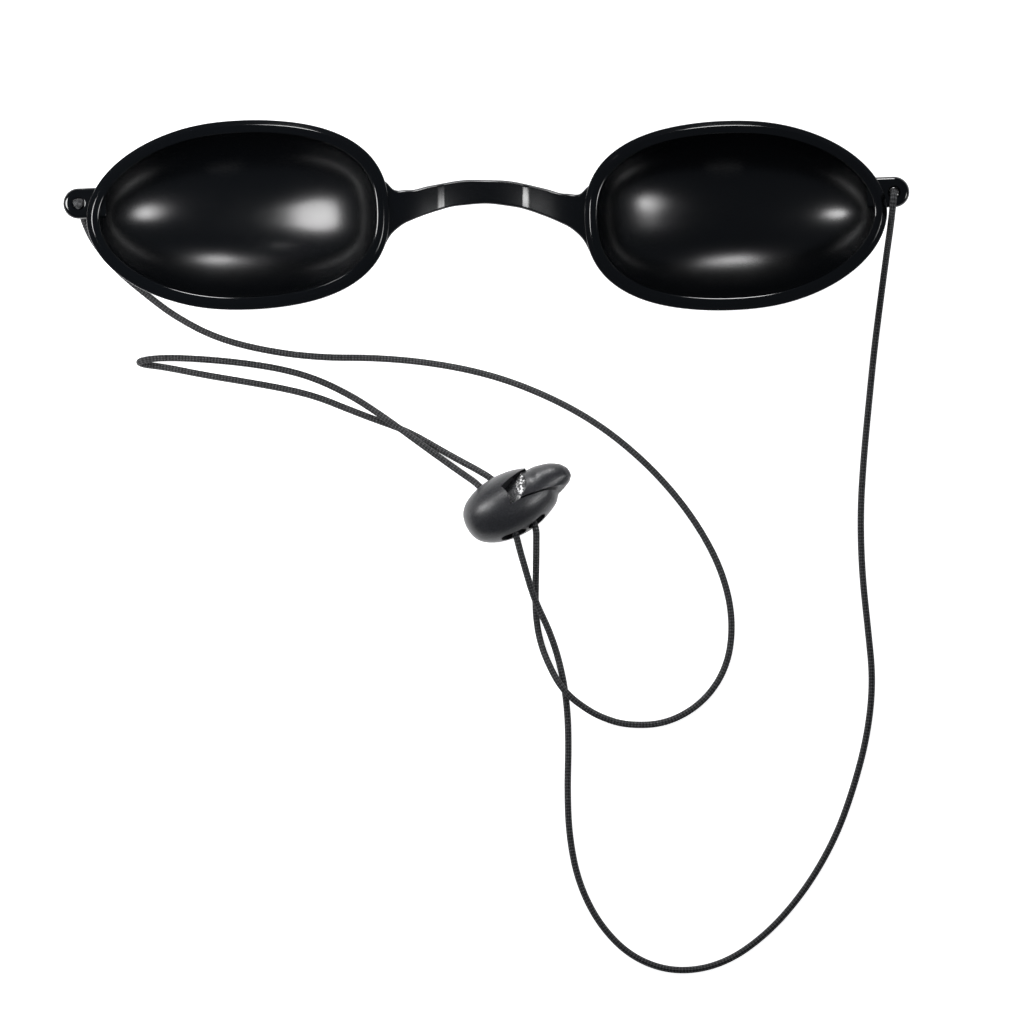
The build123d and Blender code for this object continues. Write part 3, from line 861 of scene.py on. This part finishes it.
def facet_material():
    """The stem's flat face in the window: the same black moulding, left shinier and pitted."""
    material, nodes, links, shader = new_material("lock_facet")
    shader.inputs["Base Color"].default_value = (0.03, 0.03, 0.032, 1)
    place = nodes.new("ShaderNodeTexCoord")
    pits = nodes.new("ShaderNodeTexNoise")
    pits.inputs["Scale"].default_value = 2800
    pits.inputs["Detail"].default_value = 1
    links.new(place.outputs["Object"], pits.inputs["Vector"])
    span = nodes.new("ShaderNodeMapRange")
    span.inputs["From Min"].default_value = 0.42
    span.inputs["From Max"].default_value = 0.58
    span.inputs["To Min"].default_value = 0.08
    span.inputs["To Max"].default_value = 0.6
    links.new(pits.outputs["Fac"], span.inputs["Value"])
    links.new(span.outputs["Result"], shader.inputs["Roughness"])
    bump = nodes.new("ShaderNodeBump")
    bump.inputs["Strength"].default_value = 0.3
    bump.inputs["Distance"].default_value = 0.00006
    links.new(pits.outputs["Fac"], bump.inputs["Height"])
    links.new(bump.outputs["Normal"], shader.inputs["Normal"])
    return material


def shine_facet(button):
    """Give the faces on top of the stem, which the window shows, the second material."""
    (centre, top), _ = in_lock((((0, 0, 0), (0, 0, 1)), ()))
    up = (top - centre).normalized()
    for face in button.data.polygons:
        height = (face.center / MM - centre).dot(up)
        if face.normal.dot(up) > 0.99 and abs(height - STEM_HALF_HEIGHT) < 0.02:
            face.material_index = 1


def cord_material():
    """Black braided cover: two crossing sets of strands, with a little pale fuzz; the colour is
    painted darker in the grooves between the strands and lighter on their crowns, as painted shade
    and light.
    """
    material, nodes, links, shader = new_material("cord_black")
    shader.inputs["Roughness"].default_value = 0.72
    place = nodes.new("ShaderNodeTexCoord")
    split = nodes.new("ShaderNodeSeparateXYZ")
    links.new(place.outputs["UV"], split.inputs["Vector"])

    def joined(operation, first, second):
        node = nodes.new("ShaderNodeMath")
        node.operation = operation
        for socket, value in zip(node.inputs, (first, second)):
            if isinstance(value, (int, float)):
                socket.default_value = value
            else:
                links.new(value, socket)
        return node.outputs[0]

    along = joined("MULTIPLY", split.outputs["X"], 2 * math.pi / BRAID_PITCH)
    around = joined("MULTIPLY", split.outputs["Y"], 2 * math.pi * BRAID_STRANDS)
    one_way = joined("SINE", joined("ADD", along, around), 0)
    other_way = joined("SINE", joined("SUBTRACT", along, around), 0)
    braid = joined("MULTIPLY", one_way, other_way)
    speck = nodes.new("ShaderNodeTexNoise")
    speck.inputs["Scale"].default_value = 2200
    speck.inputs["Detail"].default_value = 3
    links.new(place.outputs["Object"], speck.inputs["Vector"])
    height = joined("ADD", braid, joined("MULTIPLY", speck.outputs["Fac"], 1.2))
    # Colour follows the braid's relief: painted shade in the grooves between strands and painted
    # light on their crowns; the pale specks are fuzz.
    tone = nodes.new("ShaderNodeValToRGB")
    tone.color_ramp.elements[0].position = 0.2
    tone.color_ramp.elements[0].color = (0.008, 0.008, 0.009, 1)
    tone.color_ramp.elements[1].position = 0.95
    tone.color_ramp.elements[1].color = (0.095, 0.095, 0.098, 1)
    links.new(joined("MULTIPLY", height, 0.6), tone.inputs["Fac"])
    links.new(tone.outputs["Color"], shader.inputs["Base Color"])
    bump = nodes.new("ShaderNodeBump")
    bump.inputs["Strength"].default_value = 0.8
    bump.inputs["Distance"].default_value = 0.00008
    links.new(height, bump.inputs["Height"])
    links.new(bump.outputs["Normal"], shader.inputs["Normal"])
    return material


def steel_material():
    """Bright drawn spring wire."""
    material, nodes, links, shader = new_material("spring_steel")
    shader.inputs["Base Color"].default_value = (0.55, 0.55, 0.56, 1)
    shader.inputs["Metallic"].default_value = 1
    place = nodes.new("ShaderNodeTexCoord")
    marks = nodes.new("ShaderNodeTexNoise")
    marks.inputs["Scale"].default_value = 3000
    links.new(place.outputs["Object"], marks.inputs["Vector"])
    span = nodes.new("ShaderNodeMapRange")
    span.inputs["To Min"].default_value = 0.25
    span.inputs["To Max"].default_value = 0.4
    links.new(marks.outputs["Fac"], span.inputs["Value"])
    links.new(span.outputs["Result"], shader.inputs["Roughness"])
    return material


def paint(thing, material):
    thing.data.materials.clear()
    thing.data.materials.append(material)


# Camera

camera = bpy.data.objects.new("camera", bpy.data.cameras.new("camera"))
bpy.context.scene.collection.objects.link(camera)
bpy.context.scene.camera = camera
camera.data.sensor_width = SENSOR
camera.data.lens = SENSOR * (CAMERA_HEIGHT - FOCUS_HEIGHT) / (IMAGE_PIXELS * PIXEL)
camera.location = (VIEW_CENTRE[0] * MM, VIEW_CENTRE[1] * MM, CAMERA_HEIGHT * MM)
camera.data.clip_end = 10

# Elastic cord
cord_line = nurbs_line(LEFT_ROUTE + LOOP_ROUTE + RIGHT_ROUTE)
cord = tube("elastic_cord", cord_line, CORD_DIAMETER / 2 * MM, CORD_SIDES)
cord_cover = cord_material()
paint(cord, cord_cover)
for node, middle in KNOT_MIDDLES.items():
    knot = tube(node + "_tied", knot_line(middle), KNOT_STRAND * MM, KNOT_SIDES)
    paint(knot, cord_cover)
    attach(knot, "goggles")
    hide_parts(node)
button = button_skin(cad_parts["lock_housing"])
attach(button, "button")
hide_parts("lock_button")
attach(cord, "goggles")
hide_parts("cord_left", "cord_right", "cord_pull_loop")

# Eye shield
halves = [cup_shell(), tab_shell()]
shells = [turned(half, -CUP_SPREAD) for half in halves]
shells += [turned(mirrored(half), CUP_SPREAD) for half in halves]
shield = make_object("eye_shield_skin", shells + [bridge_shell()], SHIELD_SHARP_ANGLE)
paint(shield, shield_material())
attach(shield, "goggles")
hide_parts("eye_shield")

# Lock's finish; its housing and spring keep their own solids
lock_plastic = lock_material()
paint(button, lock_plastic)
button.data.materials.append(facet_material())
shine_facet(button)
for node, material in (
    ("lock_housing", lock_plastic),
    ("lock_spring", steel_material()),
):
    paint(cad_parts[node], material)

# Floor and light
FLOOR_REACH = 2.0
floor = bpy.data.objects.new("floor", bpy.data.meshes.new("floor"))
floor.data.from_pydata(
    [(-FLOOR_REACH, -FLOOR_REACH, 0), (FLOOR_REACH, -FLOOR_REACH, 0),
     (FLOOR_REACH, FLOOR_REACH, 0), (-FLOOR_REACH, FLOOR_REACH, 0)], [], [(0, 1, 2, 3)]
)
bpy.context.scene.collection.objects.link(floor)
floor_paint, floor_nodes, floor_links, floor_shader = new_material("floor_white")
floor_shader.inputs["Base Color"].default_value = (0.8, 0.8, 0.8, 1)
floor_shader.inputs["Roughness"].default_value = 0.9
floor_shader.inputs["Specular IOR Level"].default_value = 0
rays = floor_nodes.new("ShaderNodeLightPath")
seen = floor_nodes.new("ShaderNodeMath")
seen.operation = "MAXIMUM"
floor_links.new(rays.outputs["Is Camera Ray"], seen.inputs[0])
floor_links.new(rays.outputs["Is Glossy Ray"], seen.inputs[1])
seen_through = floor_nodes.new("ShaderNodeMath")
seen_through.operation = "MAXIMUM"
floor_links.new(seen.outputs[0], seen_through.inputs[0])
floor_links.new(rays.outputs["Is Transmission Ray"], seen_through.inputs[1])
glow = floor_nodes.new("ShaderNodeMath")
glow.operation = "MULTIPLY"
glow.inputs[1].default_value = 0.95
floor_links.new(seen_through.outputs[0], glow.inputs[0])
floor_shader.inputs["Emission Color"].default_value = (1, 1, 1, 1)
floor_links.new(glow.outputs[0], floor_shader.inputs["Emission Strength"])
floor.data.materials.append(floor_paint)

world = bpy.data.worlds.new("studio")
bpy.context.scene.world = world
world.use_nodes = True
world.node_tree.nodes["Background"].inputs["Color"].default_value = (0.84, 0.94, 1.1, 1)
world.node_tree.nodes["Background"].inputs["Strength"].default_value = 0.11


def softbox(name, place, target, width, height, radiance, spread=180):
    """Round area light at a place, in millimetres, that looks at a target; radiance on its axis."""
    light = bpy.data.lights.new(name, "AREA")
    light.shape = "ELLIPSE"
    light.size, light.size_y = width * MM, height * MM
    light.spread = math.radians(spread)
    half = light.spread / 2
    narrowing = 1 if spread == 180 else math.tan(half) / (math.tan(half) - half)
    light.energy = radiance / narrowing * math.pi * math.pi / 4 * light.size * light.size_y
    lamp = bpy.data.objects.new(name, light)
    lamp.visible_camera = False
    bpy.context.scene.collection.objects.link(lamp)
    away = Vector(place) - Vector(target)
    lamp.location = Vector(place) * MM
    lamp.rotation_mode = "QUATERNION"
    lamp.rotation_quaternion = away.to_track_quat("Z", "Y")
    return lamp


softbox("box_left", (-133, 6, 116), (-28, 0, 3), 50, 84, 21)
softbox("box_right", (170, -42, 185), (-57, 1, 3), 120, 145, 26, 29.5)
softbox("box_top", (29, 632, 286), (0, -5, 3), 175, 290, 23)
softbox("box_lock", (-87, 125, 183), (5, -46, 8), 50, 50, 40, 16)

bpy.context.scene.view_settings.view_transform = "Standard"
